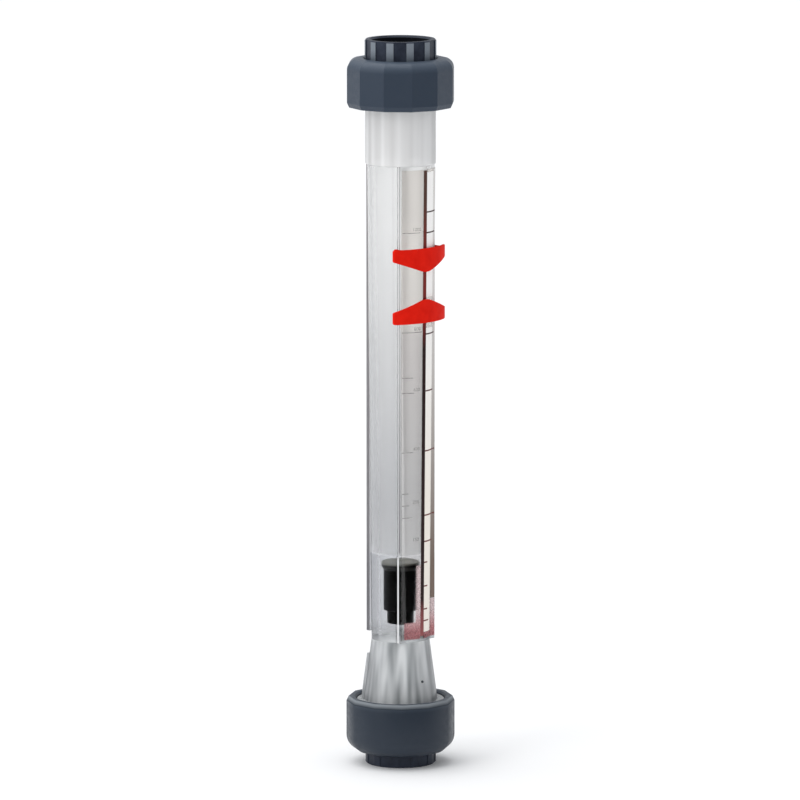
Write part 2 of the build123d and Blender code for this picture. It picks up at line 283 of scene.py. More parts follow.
def tint(finish, factor, first, last, ends=(0.3, 0.7), between=()):
    """Let a factor mix the base colour from two colours at its ends, and others in between."""
    nodes, links = finish.node_tree.nodes, finish.node_tree.links
    ramp = nodes.new("ShaderNodeValToRGB")
    stops = ramp.color_ramp.elements
    stops[0].position, stops[1].position = ends
    stops[0].color, stops[1].color = (*first, 1), (*last, 1)
    for share, colour in between:
        stops.new(share).color = (*colour, 1)
    links.new(factor, ramp.inputs["Fac"])
    links.new(ramp.outputs["Color"], nodes["Principled BSDF"].inputs["Base Color"])


def shade_outline(finish, shade):
    """Multiply the base colour by a painted shade towards the outline, where the thick wall looks
    darker.
    """
    nodes, links = finish.node_tree.nodes, finish.node_tree.links
    base = nodes["Principled BSDF"].inputs["Base Color"]
    facing = nodes.new("ShaderNodeLayerWeight")
    facing.inputs["Blend"].default_value = 0.6
    darken = nodes.new("ShaderNodeMixRGB")
    darken.blend_type = "MULTIPLY"
    darken.inputs["Color2"].default_value = (*shade, 1)
    links.new(facing.outputs["Facing"], darken.inputs["Fac"])
    links.new(base.links[0].from_socket, darken.inputs["Color1"])
    links.new(darken.outputs["Color"], base)


def relief(finish, height, depth):
    """Give the surface a fine relief, depth in metres, on top of any that it has."""
    nodes, links = finish.node_tree.nodes, finish.node_tree.links
    bump = nodes.new("ShaderNodeBump")
    bump.inputs["Distance"].default_value = depth
    bump.inputs["Strength"].default_value = 1.0
    normal = nodes["Principled BSDF"].inputs["Normal"]
    if normal.is_linked:
        links.new(normal.links[0].from_socket, bump.inputs["Normal"])
    links.new(height, bump.inputs["Height"])
    links.new(bump.outputs["Normal"], normal)


# finishes of the cone's outside and of its bore
clear_pvc = make_finish("clear_pvc", IOR=1.38, Transmission_Weight=1.0)
tint(clear_pvc, height_share(clear_pvc, 37, 412), (0.6, 0.605, 0.62), (1.0, 1.0, 0.995))
vary(clear_pvc, mottle(clear_pvc, 14 * mm, stretch=(1, 1, 5)), "Roughness", 0.22, 0.26)
relief(clear_pvc, mottle(clear_pvc, 12 * mm, stretch=(1, 1, 60)), 0.03 * mm)
bore_pvc = make_finish(
    "bore_pvc", Base_Color=(0.97, 0.97, 0.965, 1), IOR=1.38, Transmission_Weight=1.0,
)
vary(bore_pvc, mottle(bore_pvc, 14 * mm, stretch=(1, 1, 5)), "Roughness", 0.45, 0.55)
relief(bore_pvc, mottle(bore_pvc, 12 * mm, stretch=(1, 1, 60)), 0.02 * mm)

# the same two where the float rests, and the wall is clearest
window_pvc = make_finish("window_pvc", Roughness=0.05, IOR=1.12, Transmission_Weight=1.0)
tint(window_pvc, height_share(window_pvc, 62, 86), (0.84, 0.86, 0.87), (0.58, 0.59, 0.61))
vary(window_pvc, height_share(window_pvc, 64, 84), "Transmission Weight", 0.5, 1.0)
# painted shade towards the window's outline
shade_outline(window_pvc, (0.42, 0.42, 0.44))
window_bore_pvc = make_finish(
    "window_bore_pvc", Base_Color=(0.98, 0.98, 0.98, 1), IOR=1.12, Transmission_Weight=1.0,
)
vary(window_bore_pvc, mottle(window_bore_pvc, 9 * mm), "Roughness", 0.04, 0.08)

# left side of the front rail: a painted line of light low down, and painted shade above it,
# darkest just above the line;
# left side of the rear rail: a dark strip of painted shade, darkest low down
flank_light_and_shade_pvc = make_finish("flank_light_and_shade_pvc", Roughness=0.5, IOR=1.53, Transmission_Weight=0.3)
tint(
    flank_light_and_shade_pvc, height_share(flank_light_and_shade_pvc, 110, 270), (0.95, 0.955, 0.96), (0.45, 0.45, 0.45),
    ends=(0.03, 0.8), between=((0.065, (0.17, 0.16, 0.17)),),
)
relief(flank_light_and_shade_pvc, mottle(flank_light_and_shade_pvc, 0.6 * mm), 0.02 * mm)
shaded_flank_pvc = make_finish("shaded_flank_pvc", Roughness=0.3, IOR=1.53, Transmission_Weight=0.2)
tint(shaded_flank_pvc, height_share(shaded_flank_pvc, -60, 430), (0.12, 0.116, 0.128), (0.225, 0.21, 0.22))

# head, flare, thread and gate mark; the gate stub is painted dark as painted shade
head_pvc = make_finish("head_pvc", Roughness=0.3, IOR=1.53, Transmission_Weight=0.15)
head_streaks = mottle(head_pvc, 6 * mm, stretch=(1, 1, 60), detail=1)
tint(head_pvc, head_streaks, (0.7, 0.695, 0.69), (1.0, 1.0, 1.0))
# painted shade towards the head's outline
shade_outline(head_pvc, (0.62, 0.62, 0.62))
relief(head_pvc, mottle(head_pvc, 5 * mm, stretch=(1, 1, 60)), 0.5 * mm)
flare_pvc = make_finish("flare_pvc", Roughness=0.35, IOR=1.53, Transmission_Weight=0.4)
flare_streaks = mottle(flare_pvc, 4.5 * mm, stretch=(1, 1, 40), detail=1)
tint(flare_pvc, flare_streaks, (0.3, 0.32, 0.33), (0.95, 0.97, 0.975))
# painted shade towards the flare's outline
shade_outline(flare_pvc, (0.5, 0.5, 0.52))
relief(flare_pvc, mottle(flare_pvc, 3.2 * mm, stretch=(1, 1, 20)), 0.15 * mm)
thread_pvc = make_finish("thread_pvc", Roughness=0.5, IOR=1.53, Transmission_Weight=0.3)
tint(thread_pvc, mottle(thread_pvc, 0.9 * mm, detail=5), (0.25, 0.27, 0.28), (0.75, 0.77, 0.78))
gate_shade_pvc = make_finish("gate_shade_pvc", Roughness=0.6)
tint(gate_shade_pvc, mottle(gate_shade_pvc, 0.5 * mm), (0.03, 0.036, 0.04), (0.1, 0.11, 0.12))

tube = link_form("clear_tube", turned([
    (0, lower_face), *ridged_collar(lower_face, 1), *flare, (cone_top_radius, shoulder),
    (head_radius - head_edge, shoulder), (head_radius, shoulder + head_edge),
    (head_radius, upper_face - collar_length), *reversed(ridged_collar(upper_face, -1)),
    (0, upper_face),
]))
for side, start in ((-1, neck), (1, rear_rail_start)):
    y = sorted((side * rail_back, side * rail_face))
    rail = block((-rail_half_width, y[0], start), (rail_half_width, y[1], shoulder + overshoot))
    combine(tube, rail, "UNION")
for side_x in (-1, 1):
    for side_y in (-1, 1):
        x = sorted((side_x * rail_half_width, side_x * collar_radius))
        y = sorted((side_y * channel_floor, side_y * collar_radius))
        combine(tube, block((x[0], y[0], neck), (x[1], y[1], shoulder)), "DIFFERENCE")
        x = sorted((side_x * (rail_half_width - undercut), side_x * (rail_half_width + overshoot)))
        y = sorted((side_y * channel_floor, side_y * rail_back))
        combine(tube, block((x[0], y[0], neck), (x[1], y[1], shoulder)), "DIFFERENCE")

# lugs in line with the rear rail's corners, low on the flare, with a round top and an outside
# that follows the flare
lug_half_width, lug_foot, lug_top, lug_reach = 1.7, 30, 61, 1.3
lug_inside, lug_outside = 13.5, 23
lug_turn = atan2(rail_middle, rail_half_width)
for turn in (lug_turn, pi - lug_turn):
    lug = block((lug_inside, -lug_half_width, lug_foot), (lug_outside, lug_half_width, lug_top))
    top_edges = [
        e for e in lug.edges
        if all(v.co.z > (lug_top - 1) * mm for v in e.verts)
        and abs(e.verts[0].co.y - e.verts[1].co.y) < mm
    ]
    round_off(lug, top_edges, lug_half_width - 0.01, 8)
    for (r, z), (next_r, next_z) in zip(flare, flare[1:]):
        slope = (r - next_r) / (next_z - z)
        cut = divide(lug, ((r + lug_reach) * mm, 0, z * mm), (1, 0, slope), clear_outer=True)
        bmesh.ops.holes_fill(lug, edges=pick(cut, bmesh.types.BMEdge), sides=0)
    bmesh.ops.recalc_face_normals(lug, faces=lug.faces)
    rotate(lug, turn, "Z")
    combine(tube, lug, "UNION")

# gate mark of the moulding, a small round stub on the front of the flare
gate_height, gate_reach, gate_turn = 47.5, 17.3, -5
gate = bmesh.new()
bmesh.ops.create_cone(
    gate, cap_ends=True, segments=32, radius1=0.8 * mm, radius2=0.65 * mm, depth=4 * mm,
)
rotate(gate, pi / 2, "X")
bmesh.ops.translate(gate, verts=gate.verts, vec=(0, -gate_reach * mm, gate_height * mm))
rotate(gate, radians(gate_turn), "Z")
combine(tube, gate, "UNION")

# tapered bore with a seat for a float stop at each end, and a seal groove in each end face
seat_radius, seat_depth = 15.5, 3.0
inlet_radius, bore_neck_radius, bore_top_radius = 13.5, 10.9, 14.2
outlet_radius, outlet_start = 14.4, shoulder + 2
groove_inside, groove_outside, groove_depth = 17.0, 20.4, 2.4
combine(tube, turned([
    (0, lower_face - overshoot), (seat_radius, lower_face - overshoot),
    (seat_radius, lower_face + seat_depth), (inlet_radius, lower_face + seat_depth),
    (inlet_radius, flare_bend), (bore_neck_radius, neck), (bore_top_radius, shoulder),
    (outlet_radius, outlet_start), (outlet_radius, upper_face - seat_depth),
    (seat_radius, upper_face - seat_depth), (seat_radius, upper_face + overshoot),
    (0, upper_face + overshoot),
]), "DIFFERENCE")
for low, high in (
    (lower_face - overshoot, lower_face + groove_depth),
    (upper_face - groove_depth, upper_face + overshoot),
):
    combine(tube, turned([
        (groove_inside, low), (groove_outside, low), (groove_outside, high), (groove_inside, high),
    ]), "DIFFERENCE")

# the faces are divided above the place where the float rests, and along the middle of the
# front rails' sides, where the line of light changes its place; then each gets its finish
window_top = 117.5
form = bmesh.new()
form.from_mesh(tube.data)
divide(form, (0, 0, window_top * mm), (0, 0, 1))
divide(form, (0, -rail_middle * mm, 0), (0, 1, 0))
form.to_mesh(tube.data)
form.free()
smooth(tube.data, 24)
tube_finishes = (
    clear_pvc, flank_light_and_shade_pvc, shaded_flank_pvc, head_pvc, flare_pvc, thread_pvc, gate_shade_pvc, bore_pvc,
    window_pvc, window_bore_pvc,
)
tube.data.materials.clear()
for finish in tube_finishes:
    tube.data.materials.append(finish)
thread_reach = collar_length + 0.1
flank_reach = undercut - rail_half_width + 0.1
bore_reach, wall_middle, outside_reach = 14.5, 14.0, neck_radius - 1
bore_finish_top = shoulder + 5
for face in tube.data.polygons:
    x, y, z = face.center / mm
    radius = sqrt(x * x + y * y)
    outside = face.normal.x * x + face.normal.y * y > 0 and radius > outside_reach
    left_flank = face.normal.x < -0.99 and x < flank_reach and neck < z < shoulder
    if z < lower_face + thread_reach or z > upper_face - thread_reach:
        finish = thread_pvc
    elif left_flank and y < -rail_back and (y > -rail_middle) == (z < window_top):
        finish = flank_light_and_shade_pvc
    elif left_flank and y > channel_floor:
        finish = shaded_flank_pvc
    elif outside and z > shoulder:
        finish = head_pvc
    elif outside and z < neck and y < 0 and radius > flare_radius(z) + 0.2:
        finish = gate_shade_pvc
    elif outside and z < neck:
        finish = flare_pvc
    elif z < window_top:
        finish = window_pvc if radius > wall_middle else window_bore_pvc
    elif not outside and radius < bore_reach and z < bore_finish_top:
        finish = bore_pvc
    else:
        finish = clear_pvc
    face.material_index = tube_finishes.index(finish)
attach(tube, "root")
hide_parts("measuring_tube")

# Scale film. A thin clear strip, printed on its outside, is stuck round the front of the
# cone and over the faces of both front rails. It has a warm cast, a pale strip behind the
# ticks right of the middle line, and at its lower end a red field of painted red light,
# which the clear rails carry down from the red pointers.
film_gap, film_thickness = 0.1, 0.3
film_low, film_high, film_half_width = 71.0, 330.0, 12.7
layer_lift, layer_depth = 0.03, 0.03
strip_column, strip_row = 0.7, 12.0


def film_front(x, z, skin):
    """How far before the axis the cone and rails lie under a skin, in millimetres."""
    taper = (cone_top_radius - neck_radius) * (z - neck) / (shoulder - neck)
    radius = neck_radius + taper + skin
    return max(sqrt(max(radius ** 2 - x ** 2, 0)), rail_face + skin)


def wrap_on_tube(form, skin, depth):
    """Lay a flat form in XZ on the tube's front, and give it a depth towards the tube."""
    for vert in form.verts:
        vert.co.y = -film_front(vert.co.x / mm, vert.co.z / mm, skin) * mm
    bmesh.ops.recalc_face_normals(form, faces=form.faces)
    if sum(face.normal.y * face.calc_area() for face in form.faces) > 0:
        bmesh.ops.reverse_faces(form, faces=form.faces)
    bmesh.ops.solidify(
        form, geom=form.verts[:] + form.edges[:] + form.faces[:], thickness=depth * mm,
    )
    bmesh.ops.recalc_face_normals(form, faces=form.faces)


def strip(form, left, right, low, high):
    """Add a flat upright strip to a form, divided so that it can be wrapped."""
    columns = max(1, round((right - left) / strip_column))
    rows = max(1, round((high - low) / strip_row))
    made = bmesh.ops.create_grid(form, x_segments=columns, y_segments=rows, size=0.5)["verts"]
    rotate(form, pi / 2, "X", verts=made)
    bmesh.ops.scale(form, verts=made, vec=((right - left) * mm, 1, (high - low) * mm))
    middle = ((left + right) / 2 * mm, 0, (low + high) / 2 * mm)
    bmesh.ops.translate(form, verts=made, vec=middle)


def print_piece(name, form, finish, skin):
    """Wrap a flat form round the tube as a layer on the film, for print and painted red light
    alike.
    """
    wrap_on_tube(form, film_gap + film_thickness + skin, layer_depth)
    layer = link_form(name, form, finish, sharp=60)
    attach(layer, "root")


film_plastic = make_finish("film_plastic", IOR=1.3, Transmission_Weight=1.0)
tint(
    film_plastic, height_share(film_plastic, 100, 330), (1.0, 0.98, 0.955), (0.91, 0.87, 0.83),
    ends=(0.22, 0.88), between=(
        (0.56, (0.91, 0.865, 0.84)), (0.6, (0.91, 0.865, 0.84)),
        (0.63, (1.0, 0.955, 0.91)), (0.8, (1.0, 0.955, 0.91)),
    ),
)
vary(film_plastic, height_share(film_plastic, 95, 175), "Roughness", 0.04, 0.16)
relief(film_plastic, mottle(film_plastic, 5 * mm, stretch=(1, 1, 3)), 0.01 * mm)

form = bmesh.new()
strip(form, -film_half_width, film_half_width, film_low, film_high)
wrap_on_tube(form, film_gap + film_thickness, film_thickness)
film = link_form("clear_film", form, film_plastic, sharp=30)
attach(film, "root")
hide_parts("scale_film")

# pale strip behind the ticks, open where the pointers usually stand
line_left, line_right = -0.8, 1.8
pale_right, pale_low, pale_high = 8.4, 74.5, 328.5
opening_low, opening_high = 243.0, 260.0
pale_print = make_finish("pale_print", Roughness=0.45)
tint(pale_print, height_share(pale_print, 71, 330), (0.93, 0.87, 0.78), (0.97, 0.96, 0.94))
form = bmesh.new()
strip(form, line_right, pale_right, pale_low, opening_low)
strip(form, line_right, pale_right, opening_high, pale_high)
print_piece("pale_strip", form, pale_print, layer_lift)

# middle line of dark print, with painted red light on it in the red field and between the red
# pointers
line_low, line_high = 72.4, 329.6
line_print_and_red_light = make_finish("line_print_and_red_light", Roughness=0.5, Specular_IOR_Level=0.05)
tint(
    line_print_and_red_light, height_share(line_print_and_red_light, 72, 330), (0.3, 0.1, 0.1), (0.09, 0.045, 0.035),
    ends=(0.0, 0.93), between=(
        (0.05, (0.22, 0.07, 0.07)), (0.08, (0.03, 0.018, 0.018)), (0.62, (0.025, 0.012, 0.012)),
        (0.69, (0.19, 0.025, 0.022)), (0.83, (0.19, 0.03, 0.026)),
    ),
)
relief(line_print_and_red_light, mottle(line_print_and_red_light, 0.5 * mm), 0.01 * mm)
form = bmesh.new()
strip(form, line_left, line_right, line_low, line_high)
print_piece("middle_line", form, line_print_and_red_light, 2 * layer_lift)

# ticks on both sides of the line, with the place of each tick's right end by its height
right_ticks_start, left_ticks_start = line_right + 0.05, -12.2
right_tick_thickness, left_tick_thickness = 0.75, 0.4
right_ticks = {
    306.7: 11.0, 295.4: 10.6, 239.7: 11.4, 208.3: 9.8, 175.1: 12.3, 139.4: 12.3, 124.8: 10.2,
    113.2: 4.8, 100.0: 5.0, 87.2: 5.0, 80.7: 6.4,
}
left_ticks = {
    295.8: -3.0, 241.2: -1.4, 216.2: -6.6, 207.8: -6.0, 175.0: -6.4, 152.2: -8.6, 145.6: -8.0,
    138.8: -6.2,
}
tick_ink = make_finish("tick_ink", Roughness=0.5, Specular_IOR_Level=0.05)
tint(tick_ink, height_share(tick_ink, 71, 330), (0.17, 0.055, 0.05), (0.07, 0.045, 0.042))
relief(tick_ink, mottle(tick_ink, 0.5 * mm), 0.01 * mm)
fine_ink = make_finish("fine_ink", Base_Color=(0.2, 0.18, 0.17, 1), Roughness=0.5, Alpha=0.55)
vary(fine_ink, mottle(fine_ink, 0.8 * mm), "Alpha", 0.25, 0.6)
for name, ticks, start, thickness, ink in (
    ("right_ticks", right_ticks, right_ticks_start, right_tick_thickness, tick_ink),
    ("left_ticks", left_ticks, left_ticks_start, left_tick_thickness, fine_ink),
):
    form = bmesh.new()
    for z, end in ticks.items():
        strip(form, start, end, z - thickness / 2, z + thickness / 2)
    print_piece(name, form, ink, 2 * layer_lift)

# numbers of the scale, small and faint on the left half
number_size, number_right, number_rise = 2.6, -2.4, 0.5
scale_numbers = {
    295.8: 1000, 241.2: 800, 207.8: 600, 175.0: 400, 145.6: 250, 124.8: 150, 113.2: 100,
}
form = bmesh.new()
for z, number in scale_numbers.items():
    text = bpy.data.curves.new("number", "FONT")
    text.body = str(number)
    text.size = number_size * mm
    text.align_x, text.align_y = "RIGHT", "BOTTOM"
    text.resolution_u = 3
    writing = bpy.data.objects.new("number", text)
    bpy.context.scene.collection.objects.link(writing)
    view = bpy.context.evaluated_depsgraph_get()
    flat = bpy.data.meshes.new_from_object(writing.evaluated_get(view))
    place = Matrix.Translation((number_right * mm, 0, (z + number_rise) * mm))
    flat.transform(place @ Matrix.Rotation(pi / 2, 4, "X"))
    form.from_mesh(flat)
    bpy.data.objects.remove(writing)
bmesh.ops.remove_doubles(form, verts=form.verts, dist=1e-7)
print_piece("scale_numbers", form, fine_ink, 2 * layer_lift)

# red field at the lower end, on both sides of the line: painted red light, which the clear rails
# carry down from the red pointers
layer_gap = 0.1
layer_right, layer_low = film_half_width - layer_gap, film_low + layer_gap
painted_red_light = make_finish("painted_red_light", IOR=1.1, Transmission_Weight=0.75)
tint(painted_red_light, height_share(painted_red_light, 68, 94), (0.75, 0.35, 0.37), (0.97, 0.8, 0.8))
vary(painted_red_light, mottle(painted_red_light, 2.2 * mm), "Roughness", 0.1, 0.4)
form = bmesh.new()
for left, right, low, high in (
    (-10.5, line_left - layer_gap, layer_low, 80.5), (-4.0, line_left - layer_gap, 80.5, 112.0),
    (line_right + layer_gap, layer_right, layer_low, 74.3), (8.5, layer_right, 74.3, 92.0),
):
    strip(form, left, right, low, high)
print_piece("red_light_field", form, painted_red_light, 3 * layer_lift)

# brownish margin on the right rail, darker towards the bottom
margin_left, margin_low, margin_high = 8.6, 92.2, 329.5
right_margin_tone = make_finish("right_margin_tone", Roughness=0.5, Specular_IOR_Level=0.1)
tint(right_margin_tone, height_share(right_margin_tone, 3, 370), (0.2, 0.15, 0.125), (0.7, 0.68, 0.66))
relief(right_margin_tone, mottle(right_margin_tone, 0.6 * mm), 0.01 * mm)
form = bmesh.new()
strip(form, margin_left, layer_right, margin_low, margin_high)
print_piece("right_margin", form, right_margin_tone, layer_lift)

# End connectors. Each is a dark grey PVC-U socket for a cemented pipe, moulded with eleven
# narrow lands between flat recesses. The flange at its inner end is held inside the nut.
spigot_radius, spigot_chamfer = 19.5, 0.7
socket_radius, socket_chamfer, socket_web, port_radius = 16.05, 1, 3.0, 12.5
flange_radius, flange_thickness, flange_chamfer, face_chamfer = 22.2, 5.0, 0.4, 0.3
land_count, land_width, land_turn = 11, 12.0, -12.2
recess_depth, recess_length = 0.75, 11.4
land_light_start = upper_face + 12

# each end is made with its face at the origin, and the pipe's side below zero
pipe_end = -lower_face
ends = {
    "lower": Matrix.Translation((0, 0, lower_face * mm)),
    "upper": Matrix.Translation((0, 0, upper_face * mm)) @ Matrix.Rotation(pi, 4, "X"),
}


def soften(piece, width, angle=30, segments=2):
    """Round the sharp edges of a piece a little, as its mould does."""
    edge = piece.modifiers.new("edge", "BEVEL")
    edge.width, edge.segments, edge.profile = width * mm, segments, 0.5
    edge.limit_method, edge.angle_limit = "ANGLE", radians(angle)
    edge.harden_normals = True


connector_pvc = make_finish("connector_pvc", Specular_IOR_Level=0.15)
vary(connector_pvc, mottle(connector_pvc, 3 * mm), "Roughness", 0.34, 0.46)
tint(connector_pvc, mottle(connector_pvc, 6 * mm), (0.019, 0.024, 0.038), (0.034, 0.043, 0.065))
relief(connector_pvc, mottle(connector_pvc, 0.3 * mm), 0.01 * mm)
# lands at the upper end, painted paler towards the top: a painted highlight where they catch the
# light
lit_land_pvc = make_finish("lit_land_pvc", Roughness=0.6, Specular_IOR_Level=0.3)
land_light_share = height_share(lit_land_pvc, 384, 400)
tint(lit_land_pvc, land_light_share, (0.085, 0.105, 0.13), (0.185, 0.212, 0.245))
relief(lit_land_pvc, mottle(lit_land_pvc, 0.4 * mm), 0.05 * mm)
# inside of the socket and port, painted near black as painted shade
socket_shade_pvc = make_finish("socket_shade_pvc", Roughness=0.55, Specular_IOR_Level=0.1)
tint(socket_shade_pvc, mottle(socket_shade_pvc, 3 * mm), (0.004, 0.005, 0.008), (0.008, 0.01, 0.014))
relief(socket_shade_pvc, mottle(socket_shade_pvc, 0.4 * mm), 0.01 * mm)

land_step = 360 / land_count
recess_half = spigot_radius * sin(radians((land_step - land_width) / 2))
recess_size = (2 * recess_depth * mm, 2 * recess_half * mm, (recess_length + overshoot) * mm)
recess_place = (spigot_radius * mm, 0, (pipe_end + (recess_length - overshoot) / 2) * mm)
for end, place in ends.items():
    connector = link_form(f"{end}_connector", turned([
        (socket_radius + socket_chamfer, pipe_end), (spigot_radius - spigot_chamfer, pipe_end),
        (spigot_radius, pipe_end + spigot_chamfer), (spigot_radius, -flange_thickness),
        (flange_radius - flange_chamfer, -flange_thickness),
        (flange_radius, flange_chamfer - flange_thickness), (flange_radius, -face_chamfer),
        (flange_radius - face_chamfer, 0), (port_radius, 0), (port_radius, -socket_web),
        (socket_radius, -socket_web), (socket_radius, pipe_end + socket_chamfer),
    ], facets=120), connector_pvc, lit_land_pvc, socket_shade_pvc)
    recesses = bmesh.new()
    for land in range(land_count):
        made = bmesh.ops.create_cube(recesses, size=1)["verts"]
        bmesh.ops.scale(recesses, verts=made, vec=recess_size)
        bmesh.ops.translate(recesses, verts=made, vec=recess_place)
        rotate(recesses, radians(land_turn + land_step * (land + 0.5)), "Z", verts=made)
    combine(connector, recesses, "DIFFERENCE")
    smooth(connector.data, 20)
    connector.data.transform(place)
    for face in connector.data.polygons:
        away = Vector((face.center.x, face.center.y, 0))
        on_land = away.length > (spigot_radius - 0.2) * mm
        faces_out = face.normal.dot(away.normalized()) > 0.9
        if away.length < (socket_radius + 0.1) * mm:
            face.material_index = 2
        elif on_land and faces_out and face.center.z > land_light_start * mm:
            face.material_index = 1
    soften(connector, 0.18)
    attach(connector, "root")
    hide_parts(f"{end}_end_connector")

# Union nuts. Each is a blue-grey PVC-U moulding with twelve flats, rounded towards the pipe
# and bevelled at its mouth. Its thread screws over the tube's collar and clamps the flange.
# The lower nut is taller and rounder, and painted a shade darker as painted shade; its
# upward bevel is painted pale as a painted highlight, and each nut is painted paler
# towards its top as painted light from above.
nut_across_flats, nut_flats, nut_overlap = 57.5, 12, 12.0
nut_heights = {"lower": 30.5, "upper": 26.6}
nut_roundings = {"lower": 9.0, "upper": 6.0}
nut_turns = {"lower": 17.0, "upper": 2.0}
smooth_angles = {"lower": 35, "upper": 14}
mouth_bevel, mouth_bevel_height, lit_bevel_radius = 1.2, 2.6, 26
chamber_radius, chamber_chamfer, nut_shoulder = 24.3, 1, -5.3
pipe_hole_radius, pipe_hole_chamfer = spigot_radius + 0.4, 0.6
first_crest, crest_half, foot_half, ridge_height = 0.745, 0.12, 0.95, 1.35


def mould_nut_pvc(name, shade, lit_low, lit_high):
    """Blue-grey finish of a nut, with painted light making it paler towards one height, and
    painted shade as dark as its shade says.
    """
    finish = make_finish(name, Specular_IOR_Level=0.3)
    dark = [shade * c for c in (0.033, 0.048, 0.073)]
    light = [shade * c for c in (0.062, 0.083, 0.115)]
    tint(finish, height_share(finish, lit_low, lit_high), dark, light)
    vary(finish, mottle(finish, 2.5 * mm), "Roughness", 0.36, 0.5)
    relief(finish, mottle(finish, 0.35 * mm), 0.012 * mm)
    relief(finish, mottle(finish, 12 * mm), 0.06 * mm)
    return finish


# the lower nut's finish is a darker copy: painted shade
nut_finishes = {
    "lower": mould_nut_pvc("shaded_nut_pvc", 0.62, 30, 38),
    "upper": mould_nut_pvc("nut_pvc", 1.0, 380, 392),
}
# the lower nut's upward bevel, paler towards its top: a painted highlight
lit_bevel_pvc = make_finish("lit_bevel_pvc", Roughness=0.6, Specular_IOR_Level=0.2)
tint(lit_bevel_pvc, height_share(lit_bevel_pvc, 33.2, 37.6), (0.02, 0.028, 0.04), (0.2, 0.22, 0.24))
relief(lit_bevel_pvc, mottle(lit_bevel_pvc, 0.4 * mm), 0.03 * mm)

half_flats = nut_across_flats / 2
corner_radius = half_flats / cos(pi / nut_flats)
ridges = []
for ridge in range(thread_ridges):
    crest = first_crest + ridge * thread_pitch
    ridges += [
        (chamber_radius, crest - foot_half), (chamber_radius - ridge_height, crest - crest_half),
        (chamber_radius - ridge_height, crest + crest_half), (chamber_radius, crest + foot_half),
    ]
for end, place in ends.items():
    nut_height = nut_heights[end]
    back = nut_overlap - nut_height
    form = bmesh.new()
    bmesh.ops.create_circle(form, cap_ends=True, segments=nut_flats, radius=corner_radius * mm)
    rotate(form, radians(nut_turns[end]), "Z")
    bmesh.ops.translate(form, verts=form.verts, vec=(0, 0, back * mm))
    mouth = form.faces[:]
    for rise, shrink in (
        (nut_height - mouth_bevel_height, 1), (mouth_bevel_height, 1 - mouth_bevel / half_flats),
    ):
        grown = bmesh.ops.extrude_face_region(form, geom=mouth)["geom"]
        if rise == mouth_bevel_height:
            bmesh.ops.delete(form, geom=mouth, context="FACES_ONLY")
        mouth = pick(grown, bmesh.types.BMFace)
        bmesh.ops.translate(form, verts=mouth[0].verts, vec=(0, 0, rise * mm))
        bmesh.ops.scale(form, verts=mouth[0].verts, vec=(shrink, shrink, 1))
    bmesh.ops.recalc_face_normals(form, faces=form.faces)
    back_edges = [e for e in form.edges if all(abs(v.co.z - back * mm) < 1e-6 for v in e.verts)]
    round_off(form, back_edges, nut_roundings[end], 10)
    bmesh.ops.recalc_face_normals(form, faces=form.faces)
    nut = link_form(f"{end}_nut", form, nut_finishes[end], lit_bevel_pvc)
    combine(nut, turned([
        (0, back - overshoot), (pipe_hole_radius + pipe_hole_chamfer, back - overshoot),
        (pipe_hole_radius + pipe_hole_chamfer, back), (pipe_hole_radius, back + pipe_hole_chamfer),
        (pipe_hole_radius, nut_shoulder), (chamber_radius, nut_shoulder), *ridges,
        (chamber_radius, nut_overlap - chamber_chamfer),
        (chamber_radius + chamber_chamfer, nut_overlap),
        (chamber_radius + chamber_chamfer, nut_overlap + overshoot), (0, nut_overlap + overshoot),
    ], facets=180), "DIFFERENCE")
    smooth(nut.data, smooth_angles[end])
    nut.data.transform(place)
    if end == "lower":
        bevel_foot = lower_face + nut_overlap - mouth_bevel_height
        for face in nut.data.polygons:
            bevel = 0.1 < face.normal.z < 0.9 and face.center.z > bevel_foot * mm
            outer = Vector(face.center[:2]).length > lit_bevel_radius * mm
            face.material_index = int(bevel and outer)
    soften(nut, 0.35, angle=smooth_angles[end], segments=3)
    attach(nut, f"{end}_nut")
    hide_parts(f"{end}_union_nut")

# Pointers. Two bright red plastic strips arch over the scale, each with one slanted side
# that rises to a soft tip. Hooks at their ends clip behind the front rails, so they slide.
pointer_half_width, pointer_end_height, pointer_height = 19.3, 6.6, 13.6
pointer_front, pointer_arch, pointer_thickness = 20.55, 36.0, 1.2
clip_low, clip_high, clip_end, lip_thickness, lip_end = 13.35, 14.75, 9.95, 0.65, 12.5
hook_foot, hook_height = 0.3, 5.4
pointer_corners = (  # place across and up, width and steps of the rounding
    (-pointer_half_width, 0, 1.0, 6),
    (pointer_half_width, 0, 1.0, 6),
    (pointer_half_width, pointer_end_height, 0.7, 5),
    (0, pointer_height, 3.6, 14),
    (-pointer_half_width, pointer_end_height, 0.7, 5),
)
pointer_places = {
    "lower": Matrix.Translation((0, 0, 246.3 * mm)),
    "upper": Matrix.Translation((0, 0, 287.2 * mm)) @ Matrix.Rotation(pi, 4, "Y"),
}

pointer_red = make_finish("pointer_red", Specular_IOR_Level=0.03)
tint(pointer_red, mottle(pointer_red, 5 * mm), (0.66, 0.01, 0.004), (0.76, 0.015, 0.006))
vary(pointer_red, mottle(pointer_red, 2 * mm), "Roughness", 0.42, 0.58)
relief(pointer_red, mottle(pointer_red, 0.5 * mm), 0.01 * mm)

